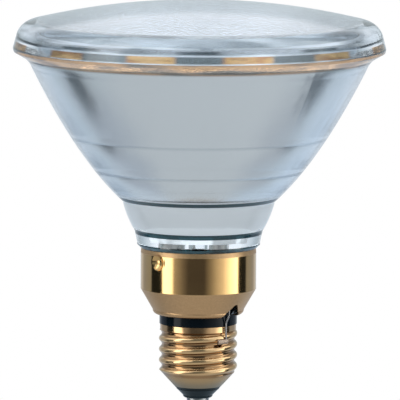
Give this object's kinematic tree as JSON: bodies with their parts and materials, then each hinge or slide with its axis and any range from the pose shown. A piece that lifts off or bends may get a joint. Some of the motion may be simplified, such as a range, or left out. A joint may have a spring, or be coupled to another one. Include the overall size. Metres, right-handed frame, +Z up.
{
  "type": "par spotlight bulb",
  "caption": "Reflector spot lamp: a pressed glass bowl with a stippled domed lens, on a skirted screw base with a side lead soldered to the thread.",
  "frame": {"origin": "centre of the flat underside of the centre contact, on the lamp's axis", "axes": "+Z up the axis from the centre contact to the lens; -Y is the side seen in the picture, +X is right in it; the two leads lie in the upright plane turned 46.5 degrees from +X towards -Y"},
  "size_m": [0.1236, 0.1236, 0.1335],
  "materials": {
    "lens_glass": "clear pressed glass, fine stipple on the inner face",
    "reflector_glass": "pressed glass bowl, aluminised on its inner face",
    "tube_glass": "clear drawn glass",
    "skirt_brass": "drawn brass, bright cylinder and grained cone",
    "shell_brass": "rolled brass thread",
    "contact_brass": "stamped brass, tinned grey",
    "insulator_black": "black glossy insulator",
    "base_glass_black": "black opal glass",
    "ferrule_metal": "plated sealing alloy",
    "post_metal": "stiff lead wire",
    "filament_tungsten": "dark drawn wire",
    "braze": "brazed fillet",
    "lead_wire": "tinned lead wire",
    "solder": "dull solder",
    "sleeve_fabric": "woven glass fibre sleeve"
  },
  "bodies": {
    "root": {"lens": "lens_glass", "reflector": "reflector_glass", "exhaust_tube": "tube_glass", "side_ferrule": "ferrule_metal", "centre_ferrule": "ferrule_metal", "side_post": "post_metal", "centre_post": "post_metal", "side_braze": "braze", "centre_braze": "braze", "filament": "filament_tungsten", "base_skirt": "skirt_brass", "insulator_ring": "insulator_black", "screw_shell": "shell_brass", "base_insulator": "base_glass_black", "centre_contact": "contact_brass", "centre_solder": "solder", "side_lead_wire": "lead_wire", "side_solder": "solder", "centre_lead_wire": "lead_wire", "lead_sleeve": "sleeve_fabric"}
  },
  "joints": []
}
